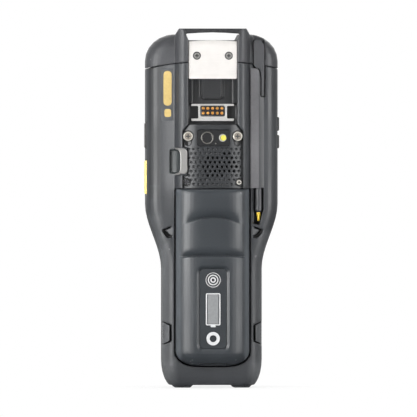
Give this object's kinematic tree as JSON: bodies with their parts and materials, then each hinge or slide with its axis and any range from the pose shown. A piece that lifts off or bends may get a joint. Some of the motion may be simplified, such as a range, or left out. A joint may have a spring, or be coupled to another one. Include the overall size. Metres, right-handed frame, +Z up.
{
  "type": "portable barcode data terminal",
  "caption": "Rugged handheld barcode terminal with a waisted grip, removable grip battery, keypad and display in front, camera, speaker, steel plate, strap bar and stylus behind.",
  "frame": {"origin": "centre of the base box, on the surface that the feet stand on", "axes": "+Z up along the body towards the head, +Y out of the keypad and display, +X to the right as seen from behind"},
  "size_m": [0.0878, 0.051, 0.234],
  "materials": {
    "shell_plastic": "fine texture",
    "cap_plastic": "fine texture",
    "cover_plastic": "satin",
    "battery_plastic": "fine texture",
    "dark_plastic": "satin",
    "seal_rubber": "matt",
    "dark_screws": "satin",
    "bright_steel": "polished",
    "plate_steel": "brushed",
    "contact_gold": "plated",
    "dark_glass": "polished",
    "scan_glass": "polished",
    "flash_yellow": "clear",
    "lcd": "smooth",
    "board": "satin",
    "cell_metal": "sleeved",
    "gauge_film": "smooth",
    "yellow_plastic": "satin",
    "key_silicone": "matt",
    "key_yellow": "matt"
  },
  "bodies": {
    "housing": {"rear_housing": "shell_plastic", "front_housing": "shell_plastic", "head_cap": "cap_plastic", "housing_seal": "seal_rubber", "housing_screws": "dark_screws", "mount_plate": "plate_steel", "mount_plate_screws": "dark_screws", "connector_frame": "bright_steel", "connector_block": "dark_plastic", "connector_contacts": "contact_gold", "camera_cover": "cover_plastic", "shoulder_screws": "bright_steel", "cover_screws": "dark_screws", "camera_window": "dark_glass", "camera_module": "dark_plastic", "flash_lens": "flash_yellow", "speaker": "dark_plastic", "strap_loop": "bright_steel", "stylus_panel": "cap_plastic", "display_window": "dark_glass", "lcd_panel": "lcd", "keypad_bezel": "cover_plastic", "keypad_mat": "seal_rubber", "keypad_board": "board", "main_board": "board", "scan_window": "scan_glass", "scan_engine": "dark_plastic", "dock_connector": "dark_plastic", "battery_terminals": "contact_gold"},
    "battery": {"battery_case": "battery_plastic", "battery_cells": "cell_metal", "gauge_panel": "cover_plastic", "gauge_display": "gauge_film"},
    "gauge_switch": {"gauge_button": "dark_plastic"},
    "stylus": {"stylus_barrel": "dark_plastic", "stylus_tip": "yellow_plastic"},
    "release_left_piece": {"release_left": "dark_plastic"},
    "release_right_piece": {"release_right": "dark_plastic"},
    "scan_button_piece": {"scan_button": "yellow_plastic"},
    "side_key_left_piece": {"side_key_left": "dark_plastic"},
    "side_key_upper_piece": {"side_key_upper": "dark_plastic"},
    "side_key_lower_piece": {"side_key_lower": "dark_plastic"},
    "key_scan_piece": {"key_scan": "key_yellow"},
    "key_nav_piece": {"key_nav": "key_silicone"},
    "key_call_piece": {"key_call": "key_silicone"},
    "key_end_piece": {"key_end": "key_silicone"},
    "key_power_piece": {"key_power": "key_silicone"},
    "key_1_piece": {"key_1": "key_silicone"},
    "key_2_piece": {"key_2": "key_silicone"},
    "key_3_piece": {"key_3": "key_silicone"},
    "key_4_piece": {"key_4": "key_silicone"},
    "key_5_piece": {"key_5": "key_silicone"},
    "key_6_piece": {"key_6": "key_silicone"},
    "key_7_piece": {"key_7": "key_silicone"},
    "key_8_piece": {"key_8": "key_silicone"},
    "key_9_piece": {"key_9": "key_silicone"},
    "key_0_piece": {"key_0": "key_silicone"},
    "key_point_piece": {"key_point": "key_silicone"},
    "key_clear_piece": {"key_clear": "key_silicone"},
    "key_enter_piece": {"key_enter": "key_silicone"}
  },
  "joints": [
    {"name": "battery_slide", "type": "slide", "parent": "housing", "child": "battery", "axis": [0, -1, 0], "range_m": [0, 0.028]},
    {"name": "gauge_press", "type": "slide", "parent": "battery", "child": "gauge_switch", "axis": [0, 1, 0], "range_m": [0, 0.0004], "stiffness_N_per_m": 400},
    {"name": "stylus_draw", "type": "slide", "parent": "housing", "child": "stylus", "axis": [0, 0, 1], "range_m": [0, 0.12]},
    {"name": "release_left_press", "type": "slide", "parent": "housing", "child": "release_left_piece", "axis": [1, 0, 0], "range_m": [0, 0.0012], "stiffness_N_per_m": 400},
    {"name": "release_right_press", "type": "slide", "parent": "housing", "child": "release_right_piece", "axis": [-1, 0, 0], "range_m": [0, 0.0012], "stiffness_N_per_m": 400},
    {"name": "scan_button_press", "type": "slide", "parent": "housing", "child": "scan_button_piece", "axis": [1, 0, 0], "range_m": [0, 0.0005], "stiffness_N_per_m": 400},
    {"name": "side_key_left_press", "type": "slide", "parent": "housing", "child": "side_key_left_piece", "axis": [1, 0, 0], "range_m": [0, 0.0005], "stiffness_N_per_m": 400},
    {"name": "side_key_upper_press", "type": "slide", "parent": "housing", "child": "side_key_upper_piece", "axis": [-1, 0, 0], "range_m": [0, 0.0005], "stiffness_N_per_m": 400},
    {"name": "side_key_lower_press", "type": "slide", "parent": "housing", "child": "side_key_lower_piece", "axis": [-1, 0, 0], "range_m": [0, 0.0005], "stiffness_N_per_m": 400},
    {"name": "key_scan_press", "type": "slide", "parent": "housing", "child": "key_scan_piece", "axis": [0, -1, 0], "range_m": [0, 0.0006], "stiffness_N_per_m": 400},
    {"name": "key_nav_press", "type": "slide", "parent": "housing", "child": "key_nav_piece", "axis": [0, -1, 0], "range_m": [0, 0.0006], "stiffness_N_per_m": 400},
    {"name": "key_call_press", "type": "slide", "parent": "housing", "child": "key_call_piece", "axis": [0, -1, 0], "range_m": [0, 0.0006], "stiffness_N_per_m": 400},
    {"name": "key_end_press", "type": "slide", "parent": "housing", "child": "key_end_piece", "axis": [0, -1, 0], "range_m": [0, 0.0006], "stiffness_N_per_m": 400},
    {"name": "key_power_press", "type": "slide", "parent": "housing", "child": "key_power_piece", "axis": [0, -1, 0], "range_m": [0, 0.0006], "stiffness_N_per_m": 400},
    {"name": "key_1_press", "type": "slide", "parent": "housing", "child": "key_1_piece", "axis": [0, -1, 0], "range_m": [0, 0.0006], "stiffness_N_per_m": 400},
    {"name": "key_2_press", "type": "slide", "parent": "housing", "child": "key_2_piece", "axis": [0, -1, 0], "range_m": [0, 0.0006], "stiffness_N_per_m": 400},
    {"name": "key_3_press", "type": "slide", "parent": "housing", "child": "key_3_piece", "axis": [0, -1, 0], "range_m": [0, 0.0006], "stiffness_N_per_m": 400},
    {"name": "key_4_press", "type": "slide", "parent": "housing", "child": "key_4_piece", "axis": [0, -1, 0], "range_m": [0, 0.0006], "stiffness_N_per_m": 400},
    {"name": "key_5_press", "type": "slide", "parent": "housing", "child": "key_5_piece", "axis": [0, -1, 0], "range_m": [0, 0.0006], "stiffness_N_per_m": 400},
    {"name": "key_6_press", "type": "slide", "parent": "housing", "child": "key_6_piece", "axis": [0, -1, 0], "range_m": [0, 0.0006], "stiffness_N_per_m": 400},
    {"name": "key_7_press", "type": "slide", "parent": "housing", "child": "key_7_piece", "axis": [0, -1, 0], "range_m": [0, 0.0006], "stiffness_N_per_m": 400},
    {"name": "key_8_press", "type": "slide", "parent": "housing", "child": "key_8_piece", "axis": [0, -1, 0], "range_m": [0, 0.0006], "stiffness_N_per_m": 400},
    {"name": "key_9_press", "type": "slide", "parent": "housing", "child": "key_9_piece", "axis": [0, -1, 0], "range_m": [0, 0.0006], "stiffness_N_per_m": 400},
    {"name": "key_0_press", "type": "slide", "parent": "housing", "child": "key_0_piece", "axis": [0, -1, 0], "range_m": [0, 0.0006], "stiffness_N_per_m": 400},
    {"name": "key_point_press", "type": "slide", "parent": "housing", "child": "key_point_piece", "axis": [0, -1, 0], "range_m": [0, 0.0006], "stiffness_N_per_m": 400},
    {"name": "key_clear_press", "type": "slide", "parent": "housing", "child": "key_clear_piece", "axis": [0, -1, 0], "range_m": [0, 0.0006], "stiffness_N_per_m": 400},
    {"name": "key_enter_press", "type": "slide", "parent": "housing", "child": "key_enter_piece", "axis": [0, -1, 0], "range_m": [0, 0.0006], "stiffness_N_per_m": 400}
  ]
}
